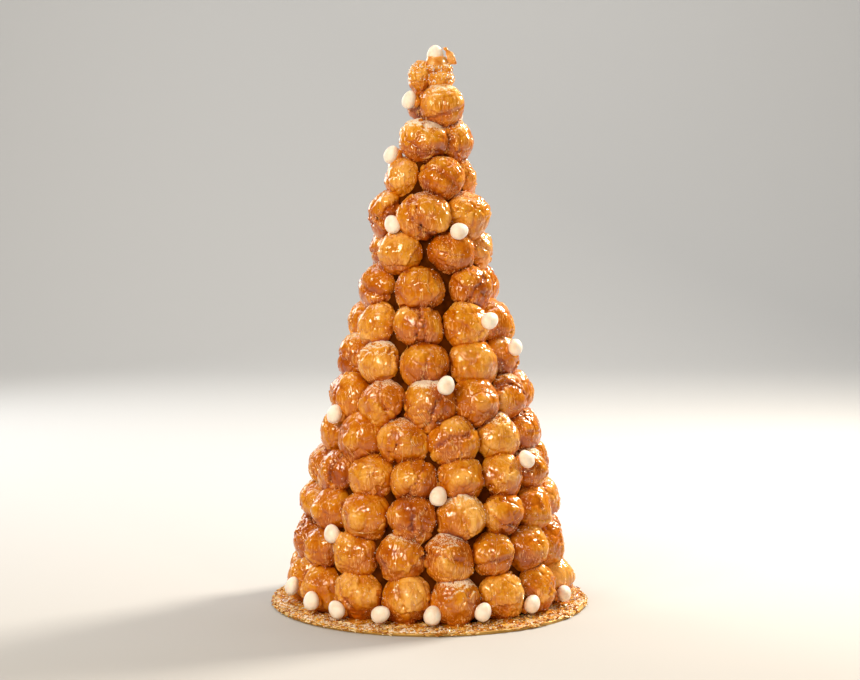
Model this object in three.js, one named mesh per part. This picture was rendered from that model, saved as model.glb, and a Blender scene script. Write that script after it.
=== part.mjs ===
// A croquembouche: rings of glazed choux puffs stacked into a tall cone on a thin round cake
// board, with sugared almonds in the hollows and round the foot.
// Millimetres, +Z up. The origin is the centre of the board's underside, and the front is -Y.
// An azimuth is measured in degrees from the front, and grows towards +X.
import * as THREE from 'three';

// Driving dimensions
const boardRadius = 150;
const boardThickness = 3;
const boardChamfer = 0.6;
const boardSides = 64;
const clearance = 0.3; // air between neighbouring solids

const footRowCentre = 26; // height of the middle of the lowest row
const footRowPitch = 38; // from the lowest row to the next
const rowPitch = 34; // from each later row to the next
const rows = [
  // puffs in the ring, radius through their middles, azimuth of the first one
  { puffs: 16, ring: 114, turn: 12 },
  { puffs: 16, ring: 108, turn: 8 },
  { puffs: 15, ring: 102, turn: 15 },
  { puffs: 14, ring: 93, turn: 17 },
  { puffs: 12, ring: 84, turn: 14 },
  { puffs: 11, ring: 75, turn: 0 },
  { puffs: 9, ring: 64, turn: -4 },
  { puffs: 8, ring: 55, turn: -11 },
  { puffs: 6, ring: 46, turn: -13 },
  { puffs: 5, ring: 38, turn: 28 },
  { puffs: 5, ring: 36, turn: -7 },
  { puffs: 4, ring: 25, turn: 20 },
  { puffs: 3, ring: 17, turn: -28 },
  { puffs: 2, ring: 9, turn: 33 },
];
const puffOverlap = 1.04; // neighbours in a ring press into each other by this much
const smallestPuff = 20.5; // half the width of a puff
const largestPuff = 22.5;
const puffDepth = 0.93; // a puff's reach outwards against its width
const puffHeight = 0.92; // and its height
const puffVariety = 0.05; // share by which puffs differ in size
const puffStray = 0.06; // share of its place by which a puff strays round the ring
const stepsPerPuff = 5; // faces round one puff
const rowLevels = [0, 0.22, 0.5, 0.78, 1]; // shares of a row's height that have a ring of points

const leanFrom = 400; // above this height the cone leans towards +X
const leanTo = 475; // and from here on it stands this far over
const tipLean = 6;

const coneSlope = 14.5; // degrees that the cone's side leans in
const almond = { halfLength: 9.2, halfWidth: 8, halfDepth: 6.8, taper: 0.14, sides: 8, bands: 5 };
const almondClearance = 0.7; // between the smooth shapes, so that the faceted ones stay clear
const pushStep = 0.25;
const sideAlmonds = [
  // height, azimuth, and turn of the long axis from upright; near the tip, its fellow's azimuth behind
  { height: 478, azimuth: -67, turn: 20, back: 142 },
  { height: 427, azimuth: -71, turn: 35, back: 150 },
  { height: 363, azimuth: -40, turn: -35 },
  { height: 357, azimuth: 29, turn: 80 },
  { height: 275, azimuth: 43, turn: 70 },
  { height: 248, azimuth: 67, turn: 75 },
  { height: 219, azimuth: 9, turn: 15 },
  { height: 187, azimuth: -61, turn: 0 },
  { height: 148, azimuth: 52, turn: -40 },
  { height: 120, azimuth: 4, turn: 10 },
  { height: 81, azimuth: -47, turn: -30 },
];
const backSpread = 0.75; // the far side has the same almonds, closer together
const backLift = 14; // and a little higher or lower by turns
const footHeight = 14; // almonds against the feet of the lowest puffs, a little uneven in height
const footRise = 3;
const footAlmonds = [
  // azimuth, turn of the long axis from upright, and how far it stands off the board; the same again behind
  { azimuth: -70, turn: 10, lift: 8 },
  { azimuth: -51, turn: -20, lift: 3 },
  { azimuth: -38, turn: -50, lift: 0 },
  { azimuth: -19, turn: 70, lift: 0 },
  { azimuth: 1, turn: 8, lift: 0 },
  { azimuth: 21, turn: 30, lift: 2 },
  { azimuth: 45, turn: 50, lift: 1 },
  { azimuth: 70, turn: 85, lift: 2 },
];

const brokenPuffs = [
  // the two broken puffs that close the cone: middle and half sizes
  { name: 'broken_puff_left', at: [-9.8, 0, 499.4], half: [7.4, 9.5, 10] },
  { name: 'broken_puff_right', at: [9.6, 0, 496.7], half: [11.2, 12, 7.4] },
];
const cap = {
  // the caramel cap over the broken puffs: a lump with a shoulder, and a collar round a dish
  bottom: 504.6,
  bottomX: 11, // it leans back, from this place at its bottom to the next at its top
  topX: 5,
  footRadius: 10.5,
  bulge: { radius: 12.8, height: 2.4 },
  edge: { radius: 13.6, height: 4.8 },
  shoulder: { radius: 9.8, height: 6 },
  collar: { outer: 9.6, inner: 8.8, height: 8.4 },
  dish: { radius: 6.9, height: 4.9, floor: 3.4 },
  sides: 12,
};
const tipAlmond = { x: 4.9, height: 519.6 };
const shard = {
  // a curved horn of hard caramel that stands on the cap's shoulder
  inner: 17,
  outer: 22.5,
  tip: 15, // distance of its point from the middle line
  height: 15.5,
  thickness: 3,
  lift: 0.4, // air under it
  outerBend: 0.6, // share of its height where each side bends most
  innerBend: 0.5,
  hollow: 2, // how far its inner side is drawn in
  curveSteps: 5,
};

const looks = {
  board: { color: 0xc79a45, roughness: 0.35, metalness: 0.8 },
  choux: { color: 0xc9802f, roughness: 0.35, metalness: 0 },
  caramel: { color: 0xb5651d, roughness: 0.15, metalness: 0 },
  almond: { color: 0xf3e4d4, roughness: 0.4, metalness: 0 },
};

const croquembouche = new THREE.Group();

function addPiece(name, geometry, look) {
  const piece = new THREE.Mesh(geometry, new THREE.MeshStandardMaterial(look));
  piece.name = name;
  croquembouche.add(piece);
  return piece;
}

function radians(degrees) {
  return THREE.MathUtils.degToRad(degrees);
}

// A repeatable stand-in for chance, from -1 to 1, that makes no two puffs quite alike.
function chance(first, second) {
  const wave = Math.sin(first * 12.9898 + second * 78.233) * 43758.5453;
  return 2 * (wave - Math.floor(wave)) - 1;
}

// How far the cone's middle line has moved towards +X at a height.
function leanAt(height) {
  return tipLean * THREE.MathUtils.clamp((height - leanFrom) / (leanTo - leanFrom), 0, 1);
}

function rowCentre(index) {
  return footRowCentre + (index > 0 ? footRowPitch + (index - 1) * rowPitch : 0);
}

// The puffs of one row, each an ellipsoid: azimuth, ring radius and half sizes.
function puffsOf(row, index) {
  const share = 360 / row.puffs;
  const typical = THREE.MathUtils.clamp(
    (Math.PI * row.ring * puffOverlap) / row.puffs,
    smallestPuff,
    largestPuff,
  );
  return Array.from({ length: row.puffs }, (unused, place) => {
    const size = typical * (1 + puffVariety * chance(index + 1, place + 1));
    const stray = puffStray * chance(place + 1, index + 20);
    return {
      azimuth: radians(row.turn + share * (place + stray)),
      ring: row.ring,
      halfWidth: size,
      halfDepth: size * puffDepth,
      halfHeight: size * puffHeight,
    };
  });
}

// Distance from the row's middle line to the far side of one puff, or 0 where it is missed.
function reachOf(puff, azimuth, rise) {
  const slice = 1 - (rise / puff.halfHeight) ** 2;
  if (slice <= 0) {
    return 0;
  }
  const depth = puff.halfDepth * Math.sqrt(slice);
  const width = puff.halfWidth * Math.sqrt(slice);
  const along = Math.cos(azimuth - puff.azimuth);
  const across = Math.sin(azimuth - puff.azimuth);
  const squared = (along / depth) ** 2 + (across / width) ** 2;
  const linear = (puff.ring * along) / depth ** 2;
  const inside = linear ** 2 - squared * ((puff.ring / depth) ** 2 - 1);
  return inside < 0 ? 0 : (linear + Math.sqrt(inside)) / squared;
}

// The row's outline at an azimuth: its puffs, and between them the filled middle.
function outlineOf(row, azimuth, height) {
  const reaches = row.all.map((puff) => reachOf(puff, azimuth, height - row.centre));
  return Math.max(row.ring, ...reaches);
}

// The azimuths of the points round a row: evenly from each hollow to the next.
function azimuthsOf(puffs) {
  const azimuths = [];
  puffs.forEach((puff, place) => {
    const before = puffs[(place + puffs.length - 1) % puffs.length].azimuth;
    const after = puffs[(place + 1) % puffs.length].azimuth;
    const start = (puff.azimuth + before - (place === 0 ? 2 * Math.PI : 0)) / 2;
    const end = (puff.azimuth + after + (place === puffs.length - 1 ? 2 * Math.PI : 0)) / 2;
    for (let step = 0; step < stepsPerPuff; step += 1) {
      azimuths.push(start + ((end - start) * step) / stepsPerPuff);
    }
  });
  return azimuths;
}

// A turned disc whose points are moved out to the row's outline.
function rowGeometry(row) {
  const heights = rowLevels.map((level) => THREE.MathUtils.lerp(row.bottom, row.top, level));
  const profile = [
    new THREE.Vector2(0, row.bottom),
    ...heights.map((height) => new THREE.Vector2(row.ring, height)),
    new THREE.Vector2(0, row.top),
  ];
  const azimuths = azimuthsOf(row.all);
  const geometry = new THREE.LatheGeometry(profile, azimuths.length);
  const points = geometry.attributes.position;
  for (let i = 0; i < points.count; i += 1) {
    const step = Math.floor(i / profile.length);
    const azimuth = azimuths[step % azimuths.length];
    const { x: radius, y: height } = profile[i % profile.length];
    const reach = radius === 0 ? 0 : outlineOf(row, azimuth, height);
    points.setXYZ(
      i,
      reach * Math.sin(azimuth) + leanAt(row.centre),
      -reach * Math.cos(azimuth),
      height,
    );
  }
  return geometry;
}

// An egg with its blunt end down, its flatter sides to the front and back.
function almondGeometry() {
  const geometry = new THREE.SphereGeometry(1, almond.sides, almond.bands).rotateX(Math.PI / 2);
  const points = geometry.attributes.position;
  for (let i = 0; i < points.count; i += 1) {
    const narrowing = 1 - almond.taper * points.getZ(i);
    points.setXYZ(
      i,
      points.getX(i) * almond.halfWidth * narrowing,
      points.getY(i) * almond.halfDepth * narrowing,
      points.getZ(i) * almond.halfLength,
    );
  }
  return geometry;
}

// Distance from the middle line to the stack's surface at an azimuth and a height. The puffs
// count whole here, though their row is cut flat where it meets the next.
function stackReach(azimuth, height) {
  const own = rows.find((row) => height >= row.bottom - clearance && height <= row.top);
  const reaches = rows
    .filter((row) => Math.abs(height - row.centre) < rowPitch)
    .flatMap((row) => row.all.map((puff) => reachOf(puff, azimuth, height - row.centre)));
  return Math.max(own ? own.ring : 0, ...reaches);
}

function touchesStack(points) {
  return points.some((point) => {
    const middle = leanAt(point.z);
    const azimuth = Math.atan2(point.x - middle, -point.y);
    const reach = Math.hypot(point.x - middle, point.y);
    return reach < stackReach(azimuth, point.z) + almondClearance;
  });
}

// An almond laid against the cone: it starts inside and moves out until it is clear.
function addAlmond(name, { height, azimuth, turn, start }) {
  const piece = addPiece(name, almondGeometry(), looks.almond);
  const probe = new THREE.SphereGeometry(1, 16, 12).attributes.position;
  const widest = 1 + almond.taper / 2;
  piece.rotation.set(radians(-coneSlope), radians(turn), radians(azimuth), 'ZXY');
  let distance = start;
  let points;
  do {
    distance += pushStep;
    piece.position.set(
      leanAt(height) + distance * Math.sin(radians(azimuth)),
      -distance * Math.cos(radians(azimuth)),
      height,
    );
    piece.updateMatrixWorld(true);
    points = Array.from({ length: probe.count }, (unused, i) =>
      new THREE.Vector3(
        probe.getX(i) * almond.halfWidth * widest,
        probe.getY(i) * almond.halfDepth * widest,
        probe.getZ(i) * almond.halfLength,
      ).applyMatrix4(piece.matrixWorld),
    );
  } while (touchesStack(points));
}

function boardGeometry() {
  return turned(
    [
      [0, 0],
      [boardRadius, 0],
      [boardRadius, boardThickness - boardChamfer],
      [boardRadius - boardChamfer, boardThickness],
      [0, boardThickness],
    ],
    boardSides,
  );
}

// A lathe shape stood upright, from radius and height pairs that run from the bottom up.
function turned(profile, sides) {
  const points = profile.map(([radius, height]) => new THREE.Vector2(radius, height));
  return new THREE.LatheGeometry(points, sides).rotateX(Math.PI / 2);
}

// The caramel cap, with a dish in its top where the upright almond sits.
function capGeometry() {
  const geometry = turned(
    [
      [0, 0],
      [cap.footRadius, 0],
      [cap.bulge.radius, cap.bulge.height],
      [cap.edge.radius, cap.edge.height],
      [cap.shoulder.radius, cap.shoulder.height],
      [cap.collar.outer, cap.collar.height],
      [cap.collar.inner, cap.collar.height],
      [cap.dish.radius, cap.dish.height],
      [0, cap.dish.floor],
    ],
    cap.sides,
  );
  const points = geometry.attributes.position;
  for (let i = 0; i < points.count; i += 1) {
    const share = points.getZ(i) / cap.collar.height;
    points.setX(i, points.getX(i) + THREE.MathUtils.lerp(cap.bottomX, cap.topX, share));
  }
  return geometry;
}

// A curved horn of hard caramel, thin from front to back.
function shardGeometry() {
  const { inner, outer, tip, height, outerBend, innerBend, hollow } = shard;
  const outline = new THREE.Shape();
  outline.moveTo(inner, 0);
  outline.lineTo(outer, 0);
  outline.quadraticCurveTo(outer, height * outerBend, tip, height);
  outline.quadraticCurveTo(inner + hollow, height * innerBend, inner, 0);
  return new THREE.ExtrudeGeometry(outline, {
    depth: shard.thickness,
    bevelEnabled: false,
    curveSegments: shard.curveSteps,
  }).rotateX(Math.PI / 2);
}

addPiece('cake_board', boardGeometry(), looks.board);

rows.forEach((row, index) => {
  row.centre = rowCentre(index);
  row.all = puffsOf(row, index);
});
rows.forEach((row, index) => {
  const below = rows[index - 1];
  const above = rows[index + 1];
  row.bottom = below ? (row.centre + below.centre) / 2 : boardThickness + clearance;
  row.top = (above ? (row.centre + above.centre) / 2 : row.centre + rowPitch / 2) - clearance;
});
rows.forEach((row, index) => {
  const number = String(index + 1).padStart(2, '0');
  addPiece(`puff_row_${number}`, rowGeometry(row), looks.choux);
});

brokenPuffs.forEach(({ name, at, half }) => {
  const lump = addPiece(name, new THREE.IcosahedronGeometry(1, 2), looks.choux);
  lump.scale.set(...half);
  lump.position.set(...at);
});

addPiece('caramel_cap', capGeometry(), looks.caramel).position.set(0, 0, cap.bottom);

addPiece('caramel_shard', shardGeometry(), looks.caramel).position.set(
  0,
  shard.thickness / 2,
  cap.bottom + cap.shoulder.height + shard.lift,
);

addPiece('almond_tip', almondGeometry(), looks.almond).position.set(
  tipAlmond.x,
  0,
  tipAlmond.height,
);

sideAlmonds.forEach((place, index) => {
  const number = String(index + 1).padStart(2, '0');
  const lift = backLift * (index % 2 === 0 ? 1 : -1);
  addAlmond(`almond_front_${number}`, { ...place, start: 0 });
  addAlmond(`almond_back_${number}`, {
    height: place.height - lift,
    azimuth: place.back ?? 180 + place.azimuth * backSpread,
    turn: -place.turn,
    start: 0,
  });
});

[0, 180].forEach((side, sideIndex) => {
  footAlmonds.forEach(({ azimuth, turn, lift }, index) => {
    const number = String(sideIndex * footAlmonds.length + index + 1).padStart(2, '0');
    addAlmond(`almond_foot_${number}`, {
      height: footHeight + lift + footRise * Math.abs(chance(index + 1, sideIndex + 5)),
      azimuth: side + azimuth,
      turn: turn * (sideIndex === 0 ? 1 : -1),
      start: rows[0].ring,
    });
  });
});

export default croquembouche;
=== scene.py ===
import math
import random
import time

import bpy
import numpy as np
from mathutils import Matrix, Vector, noise
from mathutils.bvhtree import BVHTree


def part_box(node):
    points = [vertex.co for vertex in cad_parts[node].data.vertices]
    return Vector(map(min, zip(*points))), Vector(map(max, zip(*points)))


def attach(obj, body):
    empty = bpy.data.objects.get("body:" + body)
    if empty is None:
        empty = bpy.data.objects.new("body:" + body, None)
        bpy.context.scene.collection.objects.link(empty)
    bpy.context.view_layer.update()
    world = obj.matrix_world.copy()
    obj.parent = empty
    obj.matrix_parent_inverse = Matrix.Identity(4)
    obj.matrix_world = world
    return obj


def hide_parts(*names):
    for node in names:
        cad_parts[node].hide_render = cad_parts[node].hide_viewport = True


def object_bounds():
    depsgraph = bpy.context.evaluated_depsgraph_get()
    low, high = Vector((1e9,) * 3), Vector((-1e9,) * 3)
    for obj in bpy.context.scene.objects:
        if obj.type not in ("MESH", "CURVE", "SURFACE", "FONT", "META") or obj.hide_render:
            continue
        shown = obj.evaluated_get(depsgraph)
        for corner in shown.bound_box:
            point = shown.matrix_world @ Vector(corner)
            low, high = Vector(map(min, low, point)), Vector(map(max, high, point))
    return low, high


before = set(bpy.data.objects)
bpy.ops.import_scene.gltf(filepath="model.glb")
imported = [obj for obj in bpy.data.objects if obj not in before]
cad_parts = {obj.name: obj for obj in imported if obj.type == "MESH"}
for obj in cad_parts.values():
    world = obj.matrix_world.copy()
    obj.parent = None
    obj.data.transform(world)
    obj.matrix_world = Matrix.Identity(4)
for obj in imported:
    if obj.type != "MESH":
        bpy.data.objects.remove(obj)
cadLow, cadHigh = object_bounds()
bpy.ops.object.select_all(action="DESELECT")
started = time.time()
millimetre = 0.001


def report(stage):
    print(f"[{time.time() - started:6.1f} s] {stage}")


def hexColor(text):
    channels = [int(text[i:i + 2], 16) / 255 for i in (1, 3, 5)]
    return tuple(c / 12.92 if c <= 0.04045 else ((c + 0.055) / 1.055) ** 2.4 for c in channels) + (1.0,)


def addNode(tree, kind, inputs=None, stops=None, **settings):
    node = tree.nodes.new("ShaderNode" + kind)
    for name, value in settings.items():
        setattr(node, name, value)
    if stops:  # colour ramp: place and colour, or place and grey
        ramp = node.color_ramp
        while len(ramp.elements) < len(stops):
            ramp.elements.new(0.5)
        for element, (place, color) in zip(ramp.elements, stops):
            element.position = place
            element.color = hexColor(color) if isinstance(color, str) else (color, color, color, 1.0)
    feedNode(tree, node, inputs or {})
    return node


def feedNode(tree, node, inputs):
    # another node's output is linked, anything else is the socket's own value
    for socket, source in inputs.items():
        if isinstance(source, bpy.types.NodeSocket):
            tree.links.new(source, node.inputs[socket])
        else:
            node.inputs[socket].default_value = source


def newMaterial(name):
    material = bpy.data.materials.new(name)
    material.use_nodes = True
    tree = material.node_tree
    tree.nodes.clear()
    shader = addNode(tree, "BsdfPrincipled")
    addNode(tree, "OutputMaterial", {"Surface": shader.outputs["BSDF"]})
    place = addNode(tree, "TexCoord").outputs["Object"]
    return material, tree, shader, place


def pointsOf(piece):
    places = np.empty(len(piece.data.vertices) * 3)
    piece.data.vertices.foreach_get("co", places)
    return places.reshape(-1, 3)


def movePoints(piece, places):
    piece.data.vertices.foreach_set("co", np.ascontiguousarray(places, dtype=np.float32).ravel())
    piece.data.update()


def selectPoints(piece, test):
    # leaves the piece in edit mode with just the points that pass, and the faces between them, selected
    bpy.ops.object.mode_set(mode="EDIT")
    bpy.ops.mesh.select_mode(type="VERT")
    bpy.ops.mesh.select_all(action="DESELECT")
    bpy.ops.object.mode_set(mode="OBJECT")
    piece.data.vertices.foreach_set("select", test(pointsOf(piece)))
    bpy.ops.object.mode_set(mode="EDIT")


def faceOutward():
    bpy.ops.mesh.select_all(action="SELECT")
    bpy.ops.mesh.normals_make_consistent(inside=False)


def makeOnly(piece):
    bpy.ops.object.select_all(action="DESELECT")
    piece.select_set(True)
    bpy.context.view_layer.objects.active = piece


def applyModifier(piece, kind, **settings):
    makeOnly(piece)
    modifier = piece.modifiers.new(kind.lower(), kind)
    for name, value in settings.items():
        setattr(modifier, name, value)
    bpy.ops.object.modifier_apply(modifier=modifier.name)


def displace(piece, texture, strength, level=0.5, **settings):
    applyModifier(piece, "DISPLACE", **{"texture": texture, "texture_coords": "GLOBAL",
                                        "mid_level": level, "strength": strength, **settings})


def ownCopy(source):
    piece = source.copy()
    piece.data = source.data.copy()
    bpy.context.collection.objects.link(piece)
    return piece


def mergedCopy(node):
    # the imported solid, its faces joined at their points
    piece = ownCopy(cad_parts[node])
    makeOnly(piece)
    bpy.ops.object.mode_set(mode="EDIT")
    bpy.ops.mesh.select_all(action="SELECT")
    bpy.ops.mesh.remove_doubles(threshold=0.01 * millimetre)
    faceOutward()
    bpy.ops.object.mode_set(mode="OBJECT")
    return piece


def joinAll(pieces):
    bpy.ops.object.select_all(action="DESELECT")
    for piece in pieces:
        piece.select_set(True)
    bpy.context.view_layer.objects.active = pieces[0]
    bpy.ops.object.join()
    return bpy.context.object


def outFrom(azimuth):
    # azimuths run from the front, which is -Y, round by +X
    return Vector((math.sin(azimuth), -math.cos(azimuth), 0))


def writeNumbers(piece, name, values):
    layer = piece.data.attributes.get(name) or piece.data.attributes.new(name, "FLOAT", "POINT")
    layer.data.foreach_set("value", np.ascontiguousarray(values, dtype=np.float32))


def smoothShade(piece):
    makeOnly(piece)
    bpy.ops.object.shade_smooth()


def finishPiece(piece, name, slot, material, *nodes):
    piece.name = name
    piece.data.name = name
    piece.data.materials.clear()
    piece.data.materials.append(material)
    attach(piece, "root")
    if nodes:
        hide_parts(*nodes)
    return piece


view = dict(distance=2.0, height=0.846, aim=0.475, lens=88.6)  # height and aim: shares of the object's


def setCamera():
    tall = cadHigh[2]
    eye = Vector((0, -view["distance"], view["height"] * tall))
    bpy.ops.object.camera_add(location=eye)
    camera = bpy.context.object
    camera.rotation_euler = (Vector((0, 0, view["aim"] * tall)) - eye).to_track_quat("-Z", "Y").to_euler()
    camera.data.lens = view["lens"]
    camera.data.sensor_width = 36
    bpy.context.scene.camera = camera


studio = dict(
    lamps=[
        # name, place, width and height, watts, colour
        ("keyLeft", (-1.35, -1.25, 1.1), (0.2, 0.6), 12, "#ffeed6"),
        ("keyMiddle", (-0.95, -1.6, 1.1), (0.26, 0.55), 12.5, "#ffeed6"),
        ("keyRight", (-0.5, -1.85, 1.15), (0.16, 0.5), 8, "#ffeed6"),
        ("rim", (1.05, 0.75, 1.15), (0.35, 0.35), 44, "#fff2e0"),
        ("fill", (0.9, -1.8, 0.75), (0.12, 0.4), 7, "#ffe6c2"),
        ("back", (-1.1, 1.2, 0.8), (0.8, 0.8), 10, "#ffffff"),
        ("wall", (0, 0.9, 2.8), (2.5, 2.5), 90, "#ffffff"),
    ],
    sky="#f6d9ac", skyStrength=0.13, paper="#b8b9b9",
    halfWidth=6.0, front=-4.0, wall=3.2, bend=1.2, top=4.0)


def sweepPaper():
    # a roll of pale paper: flat under the object, then bent up into the wall behind it
    steps = 16
    profile = [(studio["front"], 0.0)]
    for step in range(steps + 1):
        angle = math.pi / 2 * step / steps
        profile.append((studio["wall"] - studio["bend"] + studio["bend"] * math.sin(angle),
                        studio["bend"] - studio["bend"] * math.cos(angle)))
    profile.append((studio["wall"], studio["top"]))
    bpy.ops.mesh.primitive_plane_add(size=2)
    paper = bpy.context.object
    paper.name = "paper"
    across = studio["halfWidth"]
    points = [(side * across, y, z) for y, z in profile for side in (-1, 1)]
    faces = [(2 * i, 2 * i + 1, 2 * i + 3, 2 * i + 2) for i in range(len(profile) - 1)]
    mesh = bpy.data.meshes.new("paper")
    mesh.from_pydata(points, [], faces)
    paper.data = mesh
    smoothShade(paper)
    material, tree, shader, _ = newMaterial("backdropPaper")
    feedNode(tree, shader, {"Base Color": hexColor(studio["paper"]), "Roughness": 0.8})
    paper.data.materials.append(material)


def setStudio():
    middle = Vector((0, 0, cadHigh[2] * 0.45))
    wall = Vector((0, studio["wall"], 0.9))
    for name, place, size, watts, color in studio["lamps"]:
        bpy.ops.object.light_add(type="AREA", location=place)
        lamp = bpy.context.object
        lamp.name = name
        aim = wall if name == "wall" else middle
        lamp.rotation_euler = (aim - Vector(place)).to_track_quat("-Z", "Y").to_euler()
        lamp.data.shape = "RECTANGLE"
        lamp.data.size, lamp.data.size_y = size
        lamp.data.energy = watts
        lamp.data.color = hexColor(color)[:3]
    world = bpy.data.worlds.new("studio")
    world.use_nodes = True
    background = world.node_tree.nodes["Background"]
    background.inputs["Color"].default_value = hexColor(studio["sky"])
    background.inputs["Strength"].default_value = studio["skyStrength"]
    bpy.context.scene.world = world
    sweepPaper()
    settings = bpy.context.scene.view_settings
    settings.view_transform = "Standard"
    settings.look = "None"


setCamera()
setStudio()
report("camera, light and floor")


seating = dict(
    near=0.05 * millimetre,  # how close a point lies to the height that is asked for
    hump=20 * millimetre,  # how far a puff's outline stands out of the ring it sits on
    widen=1.04, narrowest=20.5 * millimetre, widest=22.5 * millimetre,
    sink=0.93,  # how far back from its outline a puff's middle lies, in half widths
)


def seatsIn(node):
    # a packed row is filled to its middle, and its outline dips in the hollow between two puffs
    low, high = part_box(node)
    points = np.round(pointsOf(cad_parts[node]), 6)
    ends = points[points[:, 2] > high[2] - seating["near"]]
    places, counts = np.unique(ends, axis=0, return_counts=True)
    middle = places[np.argmax(counts)]  # the point that all the top's faces share
    waist = (low[2] + high[2]) / 2
    ring = np.unique(points[np.abs(points[:, 2] - waist) < seating["near"]], axis=0) - middle
    azimuths = np.arctan2(ring[:, 0], -ring[:, 1])
    order = np.argsort(azimuths)
    azimuths, reaches = azimuths[order], np.hypot(ring[:, 0], ring[:, 1])[order]
    dips = np.where((reaches < np.roll(reaches, 1)) & (reaches < np.roll(reaches, -1)))[0]
    seats = []
    for start, end in zip(dips, np.roll(dips, -1)):
        span = (azimuths[end] - azimuths[start]) % (2 * math.pi)
        inside = (azimuths - azimuths[start]) % (2 * math.pi) <= span
        reach = reaches[inside].max()
        halfWidth = (reach - seating["hump"]) * span / 2 * seating["widen"]
        halfWidth = min(max(halfWidth, seating["narrowest"]), seating["widest"])
        seats.append(dict(middle=Vector((middle[0], middle[1], waist)), azimuth=azimuths[start] + span / 2,
                          ring=reach - halfWidth * seating["sink"], halfWidth=halfWidth))
    return seats


rowNodes = sorted(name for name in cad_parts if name.startswith("puff_row_"))
rowSeats = {node: seatsIn(node) for node in rowNodes}
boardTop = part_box("cake_board")[1].z
report("seats read from the packed rows")


puff = dict(
    halfWidth=21.5 * millimetre, depthShare=0.95, heightShare=0.99,
    kinds=[
        # swells: soft bulges; laps: crust that overlaps like a shell; seams: grooves between them
        dict(swells=3, laps=1, seams=1),
        dict(swells=2, laps=2, seams=0),
        dict(swells=4, laps=0, seams=1),
        dict(swells=3, laps=1, seams=2),
        dict(swells=2, laps=1, seams=0),
        dict(swells=5, laps=2, seams=1),
        dict(swells=3, laps=0, seams=0),
        dict(swells=4, laps=1, seams=1),
        dict(swells=3, laps=2, seams=2),
    ],
    swellRise=1.9 * millimetre, swellReach=12 * millimetre,
    lapRise=1.5 * millimetre,
    seamDepth=2.1 * millimetre, seamReach=4.5 * millimetre,
    lumps=2.6 * millimetre, cracks=0.7 * millimetre, wrinkles=0.4 * millimetre,
)


def outward(chance):
    # a direction on the half of a puff that faces out, which is +X while it is modelled
    return Vector((chance.uniform(0.15, 1), chance.uniform(-1, 1), chance.uniform(-1, 1))).normalized()


def wander(points, scale):
    return np.array([noise.noise(Vector(point) / scale) for point in points])


def crustTexture(name, kind, scale, **settings):
    texture = bpy.data.textures.new(name, kind)
    texture.noise_scale = scale
    for setting, value in settings.items():
        setattr(texture, setting, value)
    return texture


crustLumps = crustTexture("crustLumps", "CLOUDS", 15 * millimetre, noise_depth=0)
crustWrinkles = crustTexture("crustWrinkles", "CLOUDS", 5 * millimetre, noise_depth=1)
crustCracks = crustTexture("crustCracks", "VORONOI", 13 * millimetre, weight_1=-1, weight_2=1,
                           use_color_ramp=True)
crackRamp = crustCracks.color_ramp.elements
crackRamp[0].position, crackRamp[0].color = 0.0, (0, 0, 0, 1)
crackRamp[1].position, crackRamp[1].color = 0.1, (1, 1, 1, 1)


def modelPuff(index, kind):
    chance = random.Random(40 + index)
    size = puff["halfWidth"]
    bpy.ops.mesh.primitive_ico_sphere_add(subdivisions=4, radius=size)
    piece = bpy.context.object
    for _ in range(kind["swells"]):
        spot = outward(chance) * size
        selectPoints(piece, lambda points: np.linalg.norm(points - np.array(spot), axis=1) < 4 * millimetre)
        bpy.ops.transform.shrink_fatten(value=puff["swellRise"] * chance.uniform(0.5, 1.2),
                                        use_proportional_edit=True, proportional_edit_falloff="SMOOTH",
                                        proportional_size=puff["swellReach"] * chance.uniform(0.8, 1.3))
    selectPoints(piece, lambda points: points[:, 0] > -0.5 * size)
    bpy.ops.mesh.subdivide(number_cuts=1, smoothness=1.0)
    for _ in range(kind["seams"]):
        # a wavering line over part of the crust
        across, along = outward(chance), Vector((chance.uniform(-1, 1), chance.uniform(-1, 1),
                                                 chance.uniform(-1, 1)))
        normal = along.cross(across).normalized()
        shift = chance.uniform(-0.25, 0.25) * size

        def nearLine(points):
            waver = wander(points, 9 * millimetre) * 2.5 * millimetre
            offLine = np.abs(points @ np.array(normal) - shift + waver)
            return (offLine < 0.9 * millimetre) & (points @ np.array(across) > 0.1 * size)

        selectPoints(piece, nearLine)
        bpy.ops.transform.shrink_fatten(value=-puff["seamDepth"] * chance.uniform(0.6, 1.1),
                                        use_proportional_edit=True, proportional_edit_falloff="SHARP",
                                        proportional_size=puff["seamReach"])
    for _ in range(kind["laps"]):
        # one side of the crust stands over the other along a ragged edge
        normal = outward(chance)
        edge = chance.uniform(0.45, 0.75) * size
        selectPoints(piece, lambda points: (
            points @ np.array(normal) + wander(points, 7 * millimetre) * 5 * millimetre > edge))
        bpy.ops.transform.shrink_fatten(value=puff["lapRise"] * chance.uniform(0.7, 1.2))
    selectPoints(piece, lambda points: points[:, 0] > 0.05 * size)
    bpy.ops.mesh.subdivide(number_cuts=1, smoothness=0.9)
    bpy.ops.object.mode_set(mode="OBJECT")
    piece.location = (0.3 * index, 0, 0)  # each kind lies in its own part of the textures
    bpy.context.view_layer.update()
    displace(piece, crustLumps, puff["lumps"])
    displace(piece, crustCracks, puff["cracks"], level=0.9)
    displace(piece, crustWrinkles, puff["wrinkles"])
    piece.location = (0, 0, 0)
    points = pointsOf(piece)
    front = np.linalg.norm(points[points[:, 0] > 0], axis=1)
    movePoints(piece, points * size / front.mean())
    piece.name = f"puffKind{index}"
    smoothShade(piece)
    return piece


puffKinds = [modelPuff(index, kind) for index, kind in enumerate(puff["kinds"])]
report(f"{len(puffKinds)} kinds of puff of {len(puffKinds[0].data.polygons)} faces")


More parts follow.
